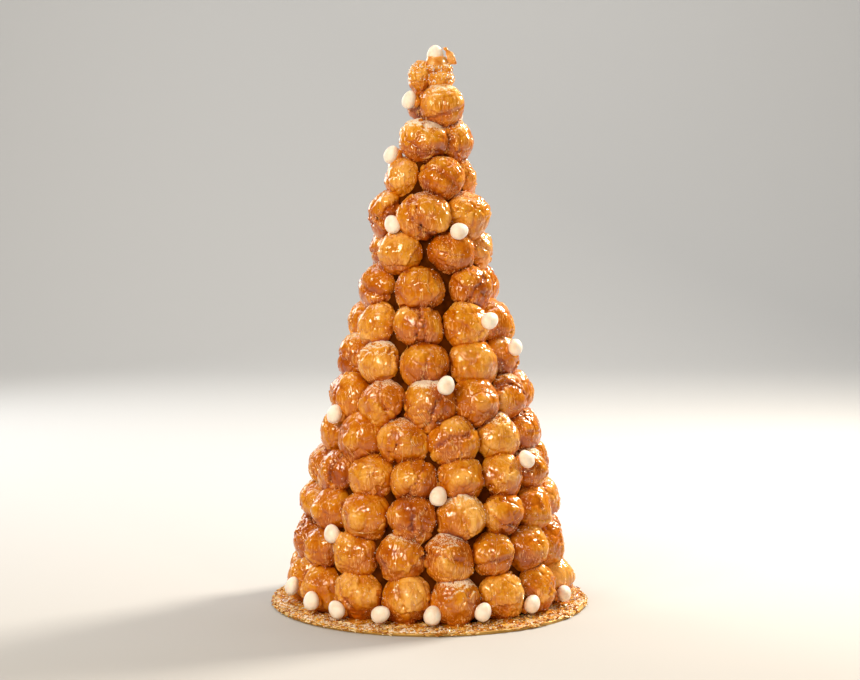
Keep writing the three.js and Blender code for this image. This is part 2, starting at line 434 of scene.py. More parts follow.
def noiseIn(tree, place, size, detail, **more):
    # a cloudy pattern, its features this many millimetres across
    inputs = {"Vector": place, "Scale": 1000 / size, "Detail": detail, **more}
    return addNode(tree, "TexNoise", inputs).outputs["Fac"]


def combine(tree, operation, *values):
    return addNode(tree, "Math", dict(enumerate(values)), operation=operation).outputs[0]


def remap(tree, value, low, high, toLow=0.0, toHigh=1.0, **settings):
    inputs = {"Value": value, "From Min": low, "From Max": high, "To Min": toLow, "To Max": toHigh}
    return addNode(tree, "MapRange", inputs, **settings).outputs[0]


def mixColor(tree, share, under, over):
    return addNode(tree, "Mix", {"Factor": share, 6: under, 7: hexColor(over)}, data_type="RGBA").outputs[2]


def mixNumber(tree, share, under, over):
    return addNode(tree, "Mix", {"Factor": share, 2: under, 3: over}, data_type="FLOAT").outputs[0]


def colorAlong(tree, value, stops):
    return addNode(tree, "ValToRGB", {"Fac": value}, stops=stops).outputs["Color"]


def drawnOut(tree, place, share, turn=(0.0, 0.0, 0.0)):
    # stretches a pattern along the height, and leans it
    inputs = {"Vector": place, "Scale": (1.0, 1.0, share), "Rotation": turn}
    return addNode(tree, "Mapping", inputs).outputs[0]


def bumpFrom(tree, height, strength, depth):
    # depth in millimetres
    inputs = {"Height": height, "Strength": strength, "Distance": depth * millimetre}
    return addNode(tree, "Bump", inputs).outputs[0]


def numberOn(tree, name):
    return addNode(tree, "Attribute", attribute_name=name).outputs["Fac"]


def chouxMaterial():
    # Choux pastry: a baked egg crust, golden where it swelled and brown in its folds, under a film
    # of amber boiled sugar that pools dark in the hollows, with icing sugar sifted over the top; painted
    # light and shade and painted glints are put into its colour too.
    material, tree, shader, place = newMaterial("glazedChoux")
    facing = addNode(tree, "SeparateXYZ", {0: addNode(tree, "NewGeometry").outputs["Normal"]}).outputs["Z"]
    freckles = noiseIn(tree, place, 2.2, 4.0)
    # how far the crust has browned, from deep to pale, with painted light and shade: paler on what faces up
    # and deeper on what faces down, where glaze also ran down; darker where puffs touch, painted shade with
    # caramel pooled there
    bakedAndShaded = combine(tree, "MULTIPLY_ADD", noiseIn(tree, place, 16, 3.0), 0.5, 0.01)
    for value, share in ((facing, 0.15), (numberOn(tree, "puffTone"), 0.26), (numberOn(tree, "relief"), 0.22),
                         (freckles, 0.3), (numberOn(tree, "contactShadeAndCaramel"), -0.42)):
        bakedAndShaded = combine(tree, "MULTIPLY_ADD", value, share, bakedAndShaded)
    crust = colorAlong(tree, bakedAndShaded, [
        (0.08, "#753000"), (0.3, "#a95c00"), (0.52, "#c98400"), (0.7, "#dcaa30"), (0.88, "#f2d083")])
    # caramel that ran down: narrow upright streaks, deeper and smoother than the crust between
    streaks = noiseIn(tree, drawnOut(tree, place, 0.3), 6, 1.5, Distortion=1.2)
    run = remap(tree, streaks, 0.46, 0.68, interpolation_type="SMOOTHSTEP")
    glazed = mixColor(tree, combine(tree, "MULTIPLY", run, 0.45), crust, "#b66802")
    # fine pale lines, side by side and leaning: painted glints, streaks of highlight put into the colour
    glintLines = noiseIn(tree, drawnOut(tree, place, 0.13, (0.35, 0.3, 0.0)), 1.3, 1.0, Distortion=0.9)
    glintAreas = remap(tree, noiseIn(tree, place, 13, 1.0), 0.42, 0.56, 0.0, 0.62)
    glintLines = combine(tree, "MULTIPLY", remap(tree, glintLines, 0.55, 0.65), glintAreas)
    glazed = mixColor(tree, glintLines, glazed, "#ffe3b4")
    # icing sugar lies thinly on what faces up
    sifted = combine(tree, "MULTIPLY", remap(tree, facing, 0.2, 0.95), numberOn(tree, "dusting"))
    clumps = noiseIn(tree, place, 3.5, 6.0, Roughness=0.8, Distortion=1.6)
    sifted = combine(tree, "MULTIPLY_ADD", sifted, 0.6, clumps)
    sifted = combine(tree, "MULTIPLY_ADD", noiseIn(tree, place, 1.1, 3.0), 0.55, sifted)
    powder = remap(tree, sifted, 1.12, 1.3, 0.0, 0.92)
    smooth = mixNumber(tree, run, remap(tree, freckles, 0.3, 0.7, 0.26, 0.5), 0.12)
    wrinkles = noiseIn(tree, place, 3.4, 4.0, Distortion=0.8)
    height = combine(tree, "MULTIPLY_ADD", noiseIn(tree, place, 0.9, 2.0), 0.35, wrinkles)
    height = combine(tree, "MULTIPLY_ADD", run, 0.5, height)
    # the film of caramel itself stands in fine upright runs, which break up its shine
    ripple = noiseIn(tree, drawnOut(tree, place, 0.25), 2.6, 1.0)
    feedNode(tree, shader, {
        "Base Color": mixColor(tree, powder, glazed, "#fff4e4"),
        "Roughness": mixNumber(tree, powder, smooth, 0.85),
        "Normal": bumpFrom(tree, height, 0.6, 0.6),
        "Coat Weight": remap(tree, powder, 0.0, 0.4, 0.95, 0.05),
        "Coat Normal": bumpFrom(tree, ripple, 0.3, 0.4),
        "Coat Roughness": 0.04, "Coat IOR": 1.6, "Coat Tint": hexColor("#ffdca6"),
        "Specular IOR Level": 0.05, "Subsurface Weight": 0.06, "Subsurface Radius": (1.0, 0.6, 0.1),
        "Subsurface Scale": 3 * millimetre})
    return material


def caramelMaterial():
    # Boiled sugar, poured: clear amber glass, brittle and very smooth, deeper where it is thick.
    material, tree, shader, place = newMaterial("boiledSugarCaramel")
    cloud = noiseIn(tree, place, 6, 2.0)
    feedNode(tree, shader, {
        "Base Color": colorAlong(tree, cloud, [(0.3, "#a8540a"), (0.52, "#d0801c"), (0.75, "#e8a746")]),
        "Normal": bumpFrom(tree, cloud, 0.3, 0.3), "Roughness": 0.07, "IOR": 1.5,
        "Subsurface Weight": 0.5, "Subsurface Radius": (1.0, 0.6, 0.1), "Subsurface Scale": 4 * millimetre})
    return material


def spunSugarMaterial():
    # Caramel pulled into hair-thin strands: so thin that it looks pale gold and glints along its length.
    material, tree, shader, place = newMaterial("spunCaramel")
    cloud = noiseIn(tree, place, 8, 2.0)
    feedNode(tree, shader, {
        "Base Color": colorAlong(tree, cloud, [(0.3, "#c9761a"), (0.5, "#e3a04a"), (0.7, "#f3cf97")]),
        "Roughness": 0.12, "IOR": 1.5,
        "Subsurface Weight": 0.4, "Subsurface Radius": (1.0, 0.6, 0.2), "Subsurface Scale": 1 * millimetre})
    return material


def sugarShellMaterial():
    # Panned sugar: a hard, faintly chalky shell built up in a drum, warm white, with a soft polish.
    material, tree, shader, place = newMaterial("pannedSugarShell")
    cloud = noiseIn(tree, place, 7, 3.0)
    feedNode(tree, shader, {
        "Base Color": colorAlong(tree, cloud, [(0.3, "#f3dec8"), (0.5, "#fbefe2"), (0.8, "#fffaf3")]),
        "Roughness": remap(tree, cloud, 0.0, 1.0, 0.32, 0.5),
        "Normal": bumpFrom(tree, noiseIn(tree, place, 1.6, 2.0), 0.25, 0.12), "Subsurface Weight": 0.25,
        "Subsurface Radius": (1.0, 0.75, 0.55), "Subsurface Scale": 2.5 * millimetre})
    return material


def innerMaterial():
    # The middle of the cone seen down the gaps: painted shade, a dark brown standing for the shaded puff
    # sides and caramel there.
    material, tree, shader, place = newMaterial("paintedShadeMiddle")
    feedNode(tree, shader, {
        "Base Color": colorAlong(tree, noiseIn(tree, place, 9, 3.0), [(0.3, "#2c1002"), (0.7, "#5c2a04")]),
        "Roughness": 0.75, "Specular IOR Level": 0.0})
    return material


def foilMaterial():
    # Card wrapped in gold foil: a thin rolled metal skin, satin, with the faint grain of the card.
    material, tree, shader, place = newMaterial("goldFoilCard")
    wear = noiseIn(tree, place, 30, 4.0)
    feedNode(tree, shader, {
        "Base Color": colorAlong(tree, wear, [(0.3, "#b08a48"), (0.6, "#d0a860"), (0.8, "#e6c88c")]),
        "Roughness": remap(tree, wear, 0.0, 1.0, 0.45, 0.65),
        "Normal": bumpFrom(tree, noiseIn(tree, place, 1.2, 3.0), 0.3, 0.1), "Metallic": 1.0})
    return material


def spillMaterial():
    # What fell on the board: caramel splinters and sugar set in a thin spill of caramel.
    material, tree, shader, place = newMaterial("sugarAndCaramelSpill")
    patches = noiseIn(tree, place, 14, 6.0, Roughness=0.68)
    both = combine(tree, "ADD", patches, noiseIn(tree, place, 2.4, 3.0))
    sugary = remap(tree, both, 0.72, 1.24)
    feedNode(tree, shader, {
        "Base Color": colorAlong(tree, sugary, [
            (0.1, "#7e3e06"), (0.34, "#c07e20"), (0.52, "#e0a848"), (0.6, "#f2d6a8"), (0.68, "#fff6ea")]),
        "Roughness": remap(tree, sugary, 0.0, 1.0, 0.15, 0.8), "Normal": bumpFrom(tree, both, 0.7, 0.8)})
    return material


def splinterMaterial():
    # Splinters of set caramel and puff crust, golden to brown from one to the next.
    material, tree, shader, place = newMaterial("caramelSplinters")
    mixed = combine(tree, "MULTIPLY_ADD", noiseIn(tree, place, 1.5, 2.0), 0.25, numberOn(tree, "tone"))
    feedNode(tree, shader, {
        "Base Color": colorAlong(tree, mixed, [
            (0.12, "#8f4a08"), (0.4, "#cf8a22"), (0.72, "#ecb550"), (1.0, "#fbe3b6")]),
        "Roughness": 0.22, "Subsurface Weight": 0.2,
        "Subsurface Radius": (1.0, 0.5, 0.1), "Subsurface Scale": 1.5 * millimetre})
    return material


def crystalMaterial():
    # Grains of sugar: small hard crystals, white, with a glint from their flat faces.
    material, tree, shader, place = newMaterial("sugarCrystals")
    feedNode(tree, shader, {
        "Base Color": colorAlong(tree, noiseIn(tree, place, 1.1, 1.0), [
            (0.35, "#e8dccd"), (0.65, "#ffffff")]),
        "Roughness": 0.18, "Subsurface Weight": 0.3,
        "Subsurface Radius": (1.0, 0.9, 0.8), "Subsurface Scale": 0.6 * millimetre})
    return material


choux = chouxMaterial()
caramel = caramelMaterial()
sugarShell = sugarShellMaterial()
spunSugar = spunSugarMaterial()
foil = foilMaterial()
crystals = crystalMaterial()
splinters = splinterMaterial()
report("materials")


pile = dict(
    seed=7, tip=0.3, smallest=1.02, largest=1.12,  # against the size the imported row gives
    ownLumps=1.8 * millimetre, ownWrinkles=0.35 * millimetre,
    glazeRidges=0.75 * millimetre, ridgeDraw=4.5,  # the glaze runs in upright ridges, this much drawn out
    contactReach=5 * millimetre, farthestNeighbour=60 * millimetre,
    dustFrom=0.55, dustGain=2.4,  # share of the height where sifted sugar begins to lie thicker
)
ownLumps = crustTexture("ownLumps", "CLOUDS", 19 * millimetre, noise_depth=0)
ownWrinkles = crustTexture("ownWrinkles", "CLOUDS", 4.2 * millimetre, noise_depth=2)
glazeRidges = crustTexture("glazeRidges", "CLOUDS", 2.8 * millimetre, noise_depth=1)
bpy.ops.object.empty_add()
ridgeFrame = bpy.context.object
ridgeFrame.scale = (1, 1, pile["ridgeDraw"])
allSeats = [seat for node in rowNodes for seat in rowSeats[node]]


def centreOf(seat):
    # the lowest puffs stand on the board
    low = boardTop + halfSizes(seat).z - seat["middle"].z
    return seat["middle"] + outFrom(seat["azimuth"]) * seat["ring"] + Vector((0, 0, max(low, 0)))


def halfSizes(seat):
    # outward, along the ring and upward
    return Vector((seat["halfWidth"] * puff["depthShare"], seat["halfWidth"],
                   seat["halfWidth"] * puff["heightShare"]))


def placePuff(source, seat, chance):
    piece = ownCopy(source)
    grow = chance.uniform(pile["smallest"], pile["largest"])
    stretch = Matrix.Diagonal((*(halfSizes(seat) * grow / puff["halfWidth"]), 1))
    relief = (np.linalg.norm(pointsOf(piece), axis=1) - puff["halfWidth"]) / (2 * millimetre)
    spin = Matrix.Rotation(chance.uniform(0, 2 * math.pi), 4, "X")
    tip = Matrix.Rotation(pile["tip"] * chance.uniform(-1, 1), 4, "Y")
    turn = Matrix.Rotation(seat["azimuth"] - math.pi / 2, 4, "Z")
    piece.data.transform(Matrix.Translation(centreOf(seat)) @ turn @ stretch @ tip @ spin)
    count = len(piece.data.vertices)
    writeNumbers(piece, "relief", relief)
    writeNumbers(piece, "puffTone", np.full(count, chance.random()))
    # sugar sifted from above lies thickest at the tip
    least = max(seat["middle"].z / cadHigh[2] - pile["dustFrom"], 0) * pile["dustGain"]
    writeNumbers(piece, "dusting", np.full(count, min(max(chance.random() ** 1.6, least), 1)))
    return piece


def contactWith(points, own, seats):
    # 1 where a neighbour's surface is touched, 0 beyond the reach
    nearest = np.full(len(points), 1.0)
    for seat in seats:
        if seat is own or (centreOf(seat) - centreOf(own)).length > pile["farthestNeighbour"]:
            continue
        turn = Matrix.Rotation(-(seat["azimuth"] - math.pi / 2), 3, "Z")
        local = (points - np.array(centreOf(seat))) @ np.array(turn).T / np.array(halfSizes(seat))
        nearest = np.minimum(nearest, (np.linalg.norm(local, axis=1) - 1) * seat["halfWidth"])
    return np.clip(1 - nearest / pile["contactReach"], 0, 1)


def buildRow(number, node):
    chance = random.Random(pile["seed"] + number)
    pieces = []
    for seat in rowSeats[node]:
        piece = placePuff(chance.choice(puffKinds), seat, chance)
        # this share darkens the glazed choux where neighbours touch: painted shade, with caramel pooled there
        writeNumbers(piece, "contactShadeAndCaramel", contactWith(pointsOf(piece), seat, allSeats))
        pieces.append(piece)
    row = joinAll(pieces)
    displace(row, ownLumps, pile["ownLumps"])
    displace(row, ownWrinkles, pile["ownWrinkles"])
    displace(row, glazeRidges, pile["glazeRidges"], texture_coords="OBJECT", texture_coords_object=ridgeFrame)
    points = pointsOf(row)
    points[:, 2] = np.maximum(points[:, 2], boardTop + 0.1 * millimetre)  # flat where they stand
    movePoints(row, points)
    return finishPiece(row, node.replace("puff_row", "glazed_puffs"), "glazed_choux", choux, node)


rows = [buildRow(number, node) for number, node in enumerate(rowNodes)]
report(f"{len(rows)} rows, {sum(len(row.data.polygons) for row in rows)} faces")


middle = dict(spread=4.5 * millimetre, narrowest=5 * millimetre, sides=40, rough=3 * millimetre)


def buildMiddle():
    # a circle drawn up row by row, out to just past the puffs' middles
    steps = [(rowSeats[node][0]["middle"], min(s["ring"] for s in rowSeats[node])) for node in rowNodes[:-1]]
    floor = boardTop + 0.5 * millimetre
    radius = steps[0][1] + middle["spread"]
    bpy.ops.mesh.primitive_circle_add(vertices=middle["sides"], radius=radius, fill_type="NGON",
                                      location=(0, 0, floor))
    piece = bpy.context.object
    bpy.ops.object.mode_set(mode="EDIT")
    faceOutward()
    height = floor
    for centre, ring in steps:
        bpy.ops.mesh.extrude_region_move(TRANSFORM_OT_translate={"value": (0, 0, centre.z - height)})
        share = max(ring + middle["spread"], middle["narrowest"]) / radius
        bpy.ops.transform.resize(value=(share, share, 1), center_override=(0, 0, centre.z))
        radius *= share
        height = centre.z
    faceOutward()
    bpy.ops.object.mode_set(mode="OBJECT")
    bpy.ops.object.transform_apply(location=True, rotation=True, scale=True)
    applyModifier(piece, "SUBSURF", levels=2, render_levels=2, subdivision_type="SIMPLE")
    displace(piece, ownLumps, middle["rough"])
    smoothShade(piece)
    # its dark colour is painted shade for the gaps between the puffs
    return finishPiece(piece, "dark_middle", "hard_caramel", innerMaterial())


buildMiddle()
report("dark middle")


def fitToBox(piece, low, high, grow=(1, 1, 1)):
    points = pointsOf(piece)
    share = (np.array(high) - np.array(low)) * np.array(grow) / (points.max(axis=0) - points.min(axis=0))
    centre = (points.max(axis=0) + points.min(axis=0)) / 2
    movePoints(piece, (points - centre) * share + (np.array(high) + np.array(low)) / 2)


def buildAlmond(node):
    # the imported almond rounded, then brought back to its own size
    piece = mergedCopy(node)
    low, high = pointsOf(piece).min(axis=0), pointsOf(piece).max(axis=0)
    applyModifier(piece, "SUBSURF", levels=2, render_levels=2)
    fitToBox(piece, low, high)
    smoothShade(piece)
    return finishPiece(piece, node.replace("almond", "sugared_almond"), "sugared_almond", sugarShell, node)


almonds = [buildAlmond(node) for node in sorted(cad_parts) if node.startswith("almond_")]
report(f"{len(almonds)} almonds")


tip = dict(
    # what closes the cone: kind of puff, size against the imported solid's box, tilt about Y
    lumps=[("broken_puff_left", 1, (1.5, 1.5, 1.6), 0.2),
           ("broken_puff_right", 4, (1.22, 1.4, 1.5), -0.12)],
    lumpRough=2.2 * millimetre,
    # the sugared cap: where it swells and by how much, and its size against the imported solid's box
    capSwells=[((0.8, -0.5, 0.2), 0.35), ((-0.5, -0.7, 0.4), 0.3), ((0.1, 0.8, 0.3), 0.3)],
    capGrow=(0.92, 0.95, 1.55), capSink=3 * millimetre,
    capRough=3.2 * millimetre, capWrinkle=1.6 * millimetre,
    # the collar: steps of rise in millimetres and share of the width below, from the bottom up
    collarSteps=[(3.0, 1.28), (3.2, 0.83), (3.0, 0.91), (2.5, 0.94)],
    collarWide=1.2, collarShift=1.2 * millimetre, collarDrop=3 * millimetre,
    collarWall=1.2 * millimetre, collarDish=5 * millimetre, collarRough=1.4 * millimetre,
    hornGrow=(1.7, 2.0, 1.05), hornRough=2.4 * millimetre,
)
fineWrinkles = crustTexture("fineWrinkles", "CLOUDS", 2.2 * millimetre, noise_depth=2)


def plainNumbers(piece, tone, dusted):
    count = len(piece.data.vertices)
    for name, value in (("relief", 0.3), ("puffTone", tone), ("contactShadeAndCaramel", 0.0), ("dusting", dusted)):
        writeNumbers(piece, name, np.full(count, value))


def buildLump(node, kind, grow, tilt):
    piece = ownCopy(puffKinds[kind])
    piece.data.transform(Matrix.Rotation(-math.pi / 2, 4, "Z") @ Matrix.Rotation(1.1 * kind, 4, "X"))
    low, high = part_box(node)
    fitToBox(piece, low, high, grow)
    centre = (low + high) / 2
    piece.data.transform(
        Matrix.Translation(centre) @ Matrix.Rotation(tilt, 4, "Y") @ Matrix.Translation(-centre))
    plainNumbers(piece, 0.95, 0.5)
    displace(piece, ownWrinkles, tip["lumpRough"])
    smoothShade(piece)
    return finishPiece(piece, f"{node}_choux", "glazed_choux", choux, node)


def buildCap():
    # a ball pressed low, swollen to one side and rumpled
    bpy.ops.mesh.primitive_ico_sphere_add(subdivisions=5, radius=1)
    piece = bpy.context.object
    for spot, rise in tip["capSwells"]:
        selectPoints(piece, lambda points: np.linalg.norm(points - np.array(spot), axis=1) < 0.35)
        bpy.ops.transform.shrink_fatten(value=rise, use_proportional_edit=True,
                                        proportional_edit_falloff="SMOOTH", proportional_size=0.7)
    bpy.ops.object.mode_set(mode="OBJECT")
    low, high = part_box("caramel_cap")
    sink = Vector((0, 0, tip["capSink"]))
    fitToBox(piece, low - sink, high - sink, tip["capGrow"])
    displace(piece, crustWrinkles, tip["capRough"])
    displace(piece, fineWrinkles, tip["capWrinkle"])
    plainNumbers(piece, 0.6, 0.9)
    smoothShade(piece)
    return finishPiece(piece, "sugared_cap", "hard_caramel", choux, "caramel_cap")


def buildCollar():
    # caramel that runs up round the upright almond
    low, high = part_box("almond_tip")
    centre = (low + high) / 2
    bpy.ops.mesh.primitive_circle_add(
        vertices=32, radius=(high.x - low.x) / 2 * tip["collarWide"], fill_type="NGON",
        location=(centre.x + tip["collarShift"], centre.y, low.z - tip["collarDrop"]))
    piece = bpy.context.object
    bpy.ops.object.mode_set(mode="EDIT")
    for rise, share in tip["collarSteps"]:
        bpy.ops.mesh.extrude_region_move(TRANSFORM_OT_translate={"value": (0, 0, rise * millimetre)})
        bpy.ops.transform.resize(value=(share, share, 1))
    bpy.ops.mesh.inset(thickness=tip["collarWall"])
    bpy.ops.transform.translate(value=(0, 0, -tip["collarDish"]))
    faceOutward()
    bpy.ops.object.mode_set(mode="OBJECT")
    bpy.ops.object.transform_apply(location=True, rotation=True, scale=True)
    applyModifier(piece, "SUBSURF", levels=2, render_levels=2)
    displace(piece, crustWrinkles, tip["collarRough"])
    smoothShade(piece)
    finishPiece(piece, "caramel_collar", "hard_caramel", spunSugar)


def buildHorn():
    # the horn of hard caramel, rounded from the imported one
    piece = mergedCopy("caramel_shard")
    applyModifier(piece, "REMESH", mode="VOXEL", voxel_size=0.5 * millimetre)
    applyModifier(piece, "SMOOTH", factor=0.5, iterations=4)
    displace(piece, crustWrinkles, tip["hornRough"], level=0.0)
    fitToBox(piece, *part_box("caramel_shard"), tip["hornGrow"])
    smoothShade(piece)
    finishPiece(piece, "caramel_horn", "hard_caramel", spunSugar, "caramel_shard")


tipPieces = [*(buildLump(*lump) for lump in tip["lumps"]), buildCap()]
buildCollar()
buildHorn()
report("tip")


board = dict(
    bevel=0.5 * millimetre,
    spillInner=96 * millimetre, spillOuter=149.4 * millimetre, spillHeight=1.3 * millimetre,
    spillRough=2.6 * millimetre, rings=15, sides=220, edgeWander=3.4 * millimetre,
    splinters=3600, splinterLong=(3.0, 8.5), splinterRing=(112 * millimetre, 149.6 * millimetre),
    grains=1500, grainSize=(0.5, 1.25), grainRing=(110 * millimetre, 148.5 * millimetre),
    fringe=2800, fringeLong=(2.5, 6.0),
)


def buildBoard():
    piece = mergedCopy("cake_board")
    applyModifier(piece, "BEVEL", width=board["bevel"], segments=2, limit_method="ANGLE",
                  angle_limit=math.radians(30))
    makeOnly(piece)
    bpy.ops.object.shade_smooth_by_angle(angle=math.radians(35))
    finishPiece(piece, "gold_cake_board", "gold_card", foil, "cake_board")


def spillTop(x, y):
    # height of the spill over the board: thickest by the puffs' feet, thin and ragged at the rim
    far = math.hypot(x, y)
    share = min(max((board["spillOuter"] - far) / (board["spillOuter"] - board["spillInner"]), 0), 1)
    patch = noise.noise(Vector((x, y, 0)) * 1000 / 16)
    return (0.35 + 0.65 * share + 0.35 * patch) * board["spillHeight"]


def buildSpill():
    # a disc inset ring by ring, then raised into a low uneven crust
    bpy.ops.mesh.primitive_circle_add(vertices=board["sides"], radius=board["spillOuter"], fill_type="NGON",
                                      location=(0, 0, boardTop - 0.6 * millimetre))
    piece = bpy.context.object
    bpy.ops.object.mode_set(mode="EDIT")
    faceOutward()
    bpy.ops.mesh.extrude_region_move(TRANSFORM_OT_translate={"value": (0, 0, 0.6 * millimetre)})
    step = (board["spillOuter"] - board["spillInner"]) / board["rings"]
    for _ in range(board["rings"]):
        bpy.ops.mesh.inset(thickness=step)
    faceOutward()
    bpy.ops.object.mode_set(mode="OBJECT")
    bpy.ops.object.transform_apply(location=True, rotation=True, scale=True)
    points = pointsOf(piece)
    for point in points:
        x, y, z = point
        far = math.hypot(x, y)
        azimuth = math.atan2(y, x)
        ragged = noise.noise(Vector((math.cos(azimuth), math.sin(azimuth), 0)) * 11)
        ragged += 0.5 * noise.noise(Vector((math.cos(azimuth), math.sin(azimuth), 1)) * 37)
        share = max((far - board["spillInner"]) / (board["spillOuter"] - board["spillInner"]), 0)
        pull = 1 + ragged * board["edgeWander"] / board["spillOuter"] * share - 0.012 * share
        point[:2] = x * pull, y * pull
        if z > boardTop - 0.3 * millimetre:
            point[2] = boardTop + spillTop(x, y)
    movePoints(piece, points)
    applyModifier(piece, "SUBSURF", levels=2, render_levels=2, subdivision_type="SIMPLE")
    displace(piece, fineWrinkles, board["spillRough"], level=0.4, direction="Z")
    smoothShade(piece)
    return finishPiece(piece, "sugar_spill", "hard_caramel", spillMaterial())


buildBoard()
spill = buildSpill()
report(f"board and spill of {len(spill.data.polygons)} faces")


def modelSplinter(index):
    # a sliver: a cube drawn out, tapered, twisted and nicked at one end
    chance = random.Random(300 + index)
    bpy.ops.mesh.primitive_cube_add(size=1)
    piece = bpy.context.object
    selectPoints(piece, lambda points: points[:, 0] > 0)
    drawn = (0.5, 0.18 * chance.uniform(-1, 1), 0.25)
    bpy.ops.mesh.extrude_region_move(TRANSFORM_OT_translate={"value": drawn})
    bpy.ops.transform.resize(value=(1, chance.uniform(0.4, 0.7), chance.uniform(0.3, 0.6)))
    selectPoints(piece, lambda points: points[:, 0] < -0.4)
    bpy.ops.transform.resize(value=(1, chance.uniform(0.35, 0.8), chance.uniform(0.3, 0.8)))
    bpy.ops.mesh.select_all(action="SELECT")
    bpy.ops.transform.vertex_random(offset=0.09, seed=index)
    bpy.ops.mesh.normals_make_consistent(inside=False)
    bpy.ops.object.mode_set(mode="OBJECT")
    piece.name = f"splinterKind{index}"
    return piece


def modelCrystal():
    # a sugar crystal: a cube with one end drawn in and its corners knocked out of true
    bpy.ops.mesh.primitive_cube_add(size=1)
    piece = bpy.context.object
    selectPoints(piece, lambda points: points[:, 2] > 0)
    bpy.ops.transform.resize(value=(0.6, 0.6, 1))
    bpy.ops.mesh.select_all(action="SELECT")
    bpy.ops.mesh.quads_convert_to_tris()
    bpy.ops.transform.vertex_random(offset=0.14, seed=5)
    bpy.ops.object.mode_set(mode="OBJECT")
    piece.name = "crystalKind"
    return piece


def scatter(kinds, places, name, slot, material, chance, tones=False):
    # places: matrices; every copy has its own mesh, and all are joined into one piece
    copies = []
    for matrix in places:
        copy = ownCopy(chance.choice(kinds))
        copy.data.transform(matrix)
        if tones:
            writeNumbers(copy, "tone", np.full(len(copy.data.vertices), chance.random()))
        copies.append(copy)
    return finishPiece(joinAll(copies), name, slot, material)


def dropOn(tree, x, y):
    hit = tree.ray_cast(Vector((x, y, boardTop + 30 * millimetre)), Vector((0, 0, -1)))
    return hit[0].z if hit[0] else None


def ringPlace(chance, inner, outer):
    azimuth = chance.uniform(0, 2 * math.pi)
    far = math.sqrt(chance.uniform(inner ** 2, outer ** 2))
    return far * math.sin(azimuth), -far * math.cos(azimuth)


def anyWay(chance, azimuth, turn, rise):
    # turned about Z within turn of the azimuth, raised within rise, and rolled any way
    return (Matrix.Rotation(azimuth + chance.uniform(-turn, turn), 4, "Z")
            @ Matrix.Rotation(chance.uniform(-rise, rise), 4, "Y")
            @ Matrix.Rotation(chance.uniform(0, 2 * math.pi), 4, "X"))


def splintersOnSpill(chance, tree):
    places = []
    while len(places) < board["splinters"]:
        x, y = ringPlace(chance, *board["splinterRing"])
        if noise.noise(Vector((x, y, 3)) * 1000 / 22) < chance.uniform(-0.75, 0.35):
            continue
        ground = dropOn(tree, x, y)
        if ground is None:
            continue
        long = chance.uniform(*board["splinterLong"]) * millimetre * chance.uniform(0.5, 1)
        wide, thick = chance.uniform(0.7, 1.8) * millimetre, chance.uniform(0.3, 0.9) * millimetre
        way = anyWay(chance, math.pi, math.pi, 0.45)
        lift = Vector((x, y, ground + chance.uniform(0.1, 1.5) * millimetre))
        places.append(Matrix.Translation(lift) @ way @ Matrix.Diagonal((long / 1.5, wide, thick, 1)))
    return places


def splintersOnRim(chance):
    # splinters that hang over the board's edge, thicker on the left and at the front
    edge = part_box("cake_board")[1]
    places = []
    for _ in range(board["fringe"]):
        azimuth = chance.uniform(0, 2 * math.pi)
        crowd = noise.noise(Vector((math.cos(azimuth), math.sin(azimuth), 5)) * 4) + 0.4 * math.sin(-azimuth)
        if crowd < chance.uniform(-0.5, 0.6):
            continue
        place = outFrom(azimuth) * (edge.x + chance.uniform(-1.8, 0.9) * millimetre)
        place.z = edge.z + chance.uniform(-1.6, 0.9) * millimetre
        way = anyWay(chance, azimuth, 0.9, 0.3)
        long = chance.uniform(*board["fringeLong"]) * millimetre
        wide, thick = chance.uniform(0.6, 1.4) * millimetre, chance.uniform(0.4, 0.9) * millimetre
        places.append(Matrix.Translation(place) @ way @ Matrix.Diagonal((long / 1.5, wide, thick, 1)))
    return places


def grainsOnSpill(chance, tree):
    places = []
    while len(places) < board["grains"]:
        x, y = ringPlace(chance, *board["grainRing"])
        ground = dropOn(tree, x, y)
        if ground is None or noise.noise(Vector((x, y, 7)) * 1000 / 18) < chance.uniform(-0.5, 0.5):
            continue
        size = chance.uniform(*board["grainSize"]) * millimetre
        turn = chance.uniform(0, 6)
        spin = Matrix.Rotation(turn, 4, Vector((chance.uniform(-1, 1), chance.uniform(-1, 1), 1)))
        lift = Vector((x, y, ground + size * chance.uniform(0.2, 0.9)))
        places.append(Matrix.Translation(lift) @ spin @ Matrix.Scale(size, 4))
    return places


def scatterOnBoard():
    chance = random.Random(21)
    tree = BVHTree.FromObject(spill, bpy.context.evaluated_depsgraph_get())
    slivers = splintersOnSpill(chance, tree) + splintersOnRim(chance)
    grains = grainsOnSpill(chance, tree)
    scatter(splinterKinds, slivers, "caramel_splinters", "hard_caramel", splinters, chance, tones=True)
    scatter([crystalKind], grains, "sugar_grains_board", "sugared_almond", crystals, chance)


splinterKinds = [modelSplinter(index) for index in range(4)]
crystalKind = modelCrystal()
scatterOnBoard()
report("splinters and grains on the board")


feelFrom = 200 * millimetre  # the puffs' surface is felt with rays that run in from this far out


def stackTrees():
    depsgraph = bpy.context.evaluated_depsgraph_get()
    trees = []
    for piece in [*rows, *tipPieces]:
        points = pointsOf(piece)
        trees.append((points[:, 2].min(), points[:, 2].max(), BVHTree.FromObject(piece, depsgraph)))
    return trees


def leanAt(height):
    heights = [rowSeats[node][0]["middle"].z for node in rowNodes]
    return float(np.interp(height, heights, [rowSeats[node][0]["middle"].x for node in rowNodes]))


def feel(trees, azimuth, height):
    # where the outermost puff is met at an azimuth and a height, with its normal
    out = outFrom(azimuth)
    start = Vector((leanAt(height), 0, height)) + out * feelFrom
    best = None
    for low, high, tree in trees:
        if low - millimetre < height < high + millimetre:
            place, normal, _, distance = tree.ray_cast(start, -out)
            if place and (best is None or distance < best[2]):
                best = (place, normal, distance)
    return best


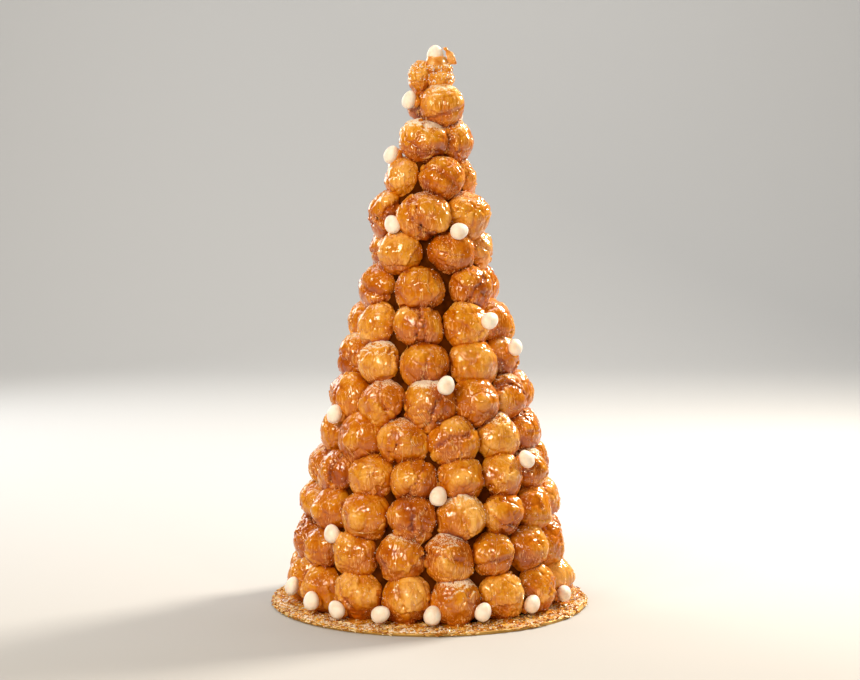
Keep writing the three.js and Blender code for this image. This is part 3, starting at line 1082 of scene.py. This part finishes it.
def threadPoints(trees, path, taut, off):
    # path: azimuth and height pairs; the thread hugs the puffs and bridges the hollows it is drawn over
    reaches = []
    for azimuth, height in path:
        hit = feel(trees, azimuth, height)
        reaches.append(feelFrom - hit[2] if hit else None)
    known = [reach for reach in reaches if reach is not None]
    if len(known) < len(reaches) * 0.7:
        return None
    reaches = [reach if reach is not None else min(known) for reach in reaches]
    for _ in range(taut):
        reaches = [reaches[0]] + [max(here, (before + after) / 2) for before, here, after
                                  in zip(reaches, reaches[1:], reaches[2:])] + [reaches[-1]]
    return [Vector((leanAt(height), 0, height)) + outFrom(azimuth) * (reach + off)
            for (azimuth, height), reach in zip(path, reaches)]


def curvePiece(name, glintLines, radius, sides, slot, material):
    # lines: lists of point and share of the radius; all are swept with a round section and made mesh
    bpy.ops.curve.primitive_bezier_curve_add()
    piece = bpy.context.object
    curve = piece.data
    curve.splines.clear()
    for line in glintLines:
        spline = curve.splines.new("POLY")
        spline.points.add(len(line) - 1)
        for point, (place, share) in zip(spline.points, line):
            point.co = (*place, 1)
            point.radius = share
    curve.bevel_depth = radius
    curve.bevel_resolution = sides
    curve.use_fill_caps = True
    makeOnly(piece)
    bpy.ops.object.convert(target="MESH")
    smoothShade(piece)
    return finishPiece(bpy.context.object, name, slot, material)


strands = dict(
    threads=460, threadRadius=0.4 * millimetre, threadLong=(8.0, 24.0), threadSteps=18,
    threadApart=(1.6, 2.6),  # between threads that lie side by side
    drips=260, dripRadius=0.75 * millimetre, dripLong=(6.0, 20.0), dripSteps=12,
    belowTop=50 * millimetre, lowestThread=8 * millimetre,
)


def coneRadius(height):
    heights = [rowSeats[node][0]["middle"].z for node in rowNodes]
    return float(np.interp(height, heights, [rowSeats[node][0]["ring"] + 0.02 for node in rowNodes]))


def heightBelow(chance, top, lowest):
    # more often low than high, as there is more of the cone there
    return top - (top - lowest) * math.sqrt(chance.random())


def buildThreads(trees, chance, top):
    glintLines = []
    while len(glintLines) < strands["threads"]:
        height = heightBelow(chance, top, 20 * millimetre)
        azimuth = chance.uniform(0, 2 * math.pi)
        stride = chance.uniform(*strands["threadLong"]) * millimetre / strands["threadSteps"]
        slope = chance.gauss(math.pi / 2, 0.55)  # mostly downwards
        bend = chance.uniform(-1.3, 1.3) / strands["threadSteps"]
        path = []
        x = y = 0.0
        for _ in range(strands["threadSteps"]):
            path.append((azimuth + x / coneRadius(height), height - y))
            slope += bend
            x += math.cos(slope) * stride
            y += math.sin(slope) * stride
        if not strands["lowestThread"] <= path[-1][1] <= top:
            continue
        thick = chance.uniform(0.6, 1.3)
        for beside in range(chance.choice((1, 1, 2, 3))):  # some lie two or three side by side
            shift = beside * chance.uniform(*strands["threadApart"]) * millimetre / coneRadius(height)
            places = threadPoints(trees, [(along + shift, up) for along, up in path], 1,
                                  -strands["threadRadius"] * 0.1)
            if places:
                count = len(places) - 1
                glintLines.append([(place, thick * (0.3 + 0.7 * math.sin(math.pi * step / count)))
                              for step, place in enumerate(places)])
    curvePiece("caramel_threads", glintLines, strands["threadRadius"], 1, "hard_caramel", spunSugar)


def buildDrips(trees, chance, top):
    # each thickens to a drop at its lower end
    drips = []
    while len(drips) < strands["drips"]:
        height = heightBelow(chance, top, 30 * millimetre)
        azimuth = chance.uniform(0, 2 * math.pi)
        long = chance.uniform(*strands["dripLong"]) * millimetre
        path = [(azimuth + chance.uniform(-0.15, 0.15) * millimetre / coneRadius(height),
                 height - long * step / strands["dripSteps"]) for step in range(strands["dripSteps"])]
        places = threadPoints(trees, path, 1, -strands["dripRadius"] * 0.35)
        if places:
            thick = chance.uniform(0.5, 1.2)
            count = len(places) - 1
            drips.append([(place, thick * (0.3 + 0.7 * (step / count) ** 2) * (0.55 if step == count else 1))
                          for step, place in enumerate(places)])
    curvePiece("caramel_drips", drips, strands["dripRadius"], 2, "hard_caramel", caramel)


def buildStrands(trees):
    chance = random.Random(33)
    top = cadHigh[2] - strands["belowTop"]
    buildThreads(trees, chance, top)
    buildDrips(trees, chance, top)


trees = stackTrees()
report("surface trees")
buildStrands(trees)
report("threads and drips")


bits = dict(
    # every eighteenth speck lies on the sugared cap, and those are larger
    specks=5400, speckSize=(0.25, 0.7), capEvery=18, capSize=1.8,
    belowTop=35 * millimetre, sugaredTo=513 * millimetre, lowest=12 * millimetre,
    hollowDepth=18 * millimetre,  # a hollow this deep holds all the sugar that falls in it
    jointSize=(2.0, 4.2), jointLifts=(-0.3, 0.35),
    beadSize=(5.0, 6.5), beadBehind=6.5 * millimetre,
    poolOut=4 * millimetre, poolHeight=1.2 * millimetre, poolThick=1.7 * millimetre,
)


def modelBlob():
    # a bead of set caramel: a ball, its rim drawn out unevenly
    bpy.ops.mesh.primitive_ico_sphere_add(subdivisions=2, radius=1)
    piece = bpy.context.object
    for seed in range(3):
        chance = random.Random(60 + seed)
        spot = Vector((chance.uniform(-1, 1), chance.uniform(-1, 1), 0)).normalized()
        selectPoints(piece, lambda points: np.linalg.norm(points - np.array(spot), axis=1) < 0.4)
        bpy.ops.transform.shrink_fatten(value=0.35, use_proportional_edit=True,
                                        proportional_edit_falloff="SMOOTH", proportional_size=0.8)
    bpy.ops.object.mode_set(mode="OBJECT")
    smoothShade(piece)
    piece.name = "blobKind"
    return piece


def facingMatrix(place, normal, chance):
    turn = normal.to_track_quat("Z", "Y").to_matrix().to_4x4()
    return Matrix.Translation(place) @ turn @ Matrix.Rotation(chance.uniform(0, 2 * math.pi), 4, "Z")


def placeSpecks(trees, chance, top):
    places = []
    while len(places) < bits["specks"]:
        height = heightBelow(chance, top, bits["lowest"])
        if len(places) % bits["capEvery"] == 0:
            height = chance.uniform(top, bits["sugaredTo"])  # the cap is crusted with sugar
        hit = feel(trees, chance.uniform(0, 2 * math.pi), height)
        if not hit:
            continue
        place, normal, _ = hit
        # sugar lodges where the crust faces up and in the hollows, and falls off what faces down
        hollow = (coneRadius(height) - math.hypot(place.x, place.y)) / bits["hollowDepth"]
        if height < top and (normal.z < -0.3
                             or chance.random() > 0.08 + 0.3 * normal.z + min(max(hollow, 0), 0.9)):
            continue
        size = chance.uniform(*bits["speckSize"]) * millimetre * (bits["capSize"] if height > top else 1)
        places.append(facingMatrix(place + normal * size * 0.25, normal, chance) @ Matrix.Scale(size, 4))
    return places


def placeJoints(trees, chance):
    # caramel in the seam between neighbours of a row, once low and once high
    places = []
    for node in rowNodes:
        seats = rowSeats[node]
        for index, seat in enumerate(seats):
            following = seats[(index + 1) % len(seats)]
            gap = (following["azimuth"] - seat["azimuth"]) % (2 * math.pi)
            for lift in bits["jointLifts"]:
                azimuth = seat["azimuth"] + gap * chance.uniform(0.45, 0.55)
                height = seat["middle"].z + (lift + chance.uniform(-0.2, 0.2)) * seat["halfWidth"]
                hit = feel(trees, azimuth, height)
                if hit and chance.random() < 0.8:
                    size = chance.uniform(*bits["jointSize"]) * millimetre
                    places.append(facingMatrix(hit[0] - hit[1] * size * 0.15, hit[1], chance)
                                  @ Matrix.Diagonal((size, size * chance.uniform(0.5, 1), size * 0.5, 1)))
    return places


def placeBeads(chance, top):
    # a bead of caramel holds each almond, and pools stand round the feet of the lowest puffs
    places = []
    for almond in almonds:
        centre = Vector(pointsOf(almond).mean(axis=0))
        if centre.z > top:
            continue
        inward = Vector((leanAt(centre.z) - centre.x, -centre.y, 0)).normalized()
        size = chance.uniform(*bits["beadSize"]) * millimetre
        place = centre + inward * bits["beadBehind"] + Vector((0, 0, chance.uniform(-4, -1) * millimetre))
        places.append(facingMatrix(place, -inward, chance)
                      @ Matrix.Diagonal((size, size * 1.2, size * 0.7, 1)))
    for seat in rowSeats[rowNodes[0]]:
        place = seat["middle"] + outFrom(seat["azimuth"]) * (seat["ring"] + bits["poolOut"])
        place.z = boardTop + bits["poolHeight"]
        size = seat["halfWidth"] * chance.uniform(0.72, 0.86)
        places.append(facingMatrix(place, Vector((0, 0, 1)), chance)
                      @ Matrix.Diagonal((size, size, bits["poolThick"], 1)))
    return places


def scatterOnStack(trees):
    chance = random.Random(51)
    top = cadHigh[2] - bits["belowTop"]
    specks = placeSpecks(trees, chance, top)
    scatter([crystalKind], specks, "sugar_specks", "sugared_almond", crystals, chance)
    joints = placeJoints(trees, chance)
    scatter([blobKind], joints, "caramel_joints", "hard_caramel", caramel, chance)
    beads = placeBeads(chance, top)
    scatter([blobKind], beads, "caramel_beads", "hard_caramel", caramel, chance)


blobKind = modelBlob()
scatterOnStack(trees)
report("specks, joints and beads")


for kind in [*puffKinds, *splinterKinds, crystalKind, blobKind, ridgeFrame]:
    bpy.data.objects.remove(kind)

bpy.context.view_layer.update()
report("finished")
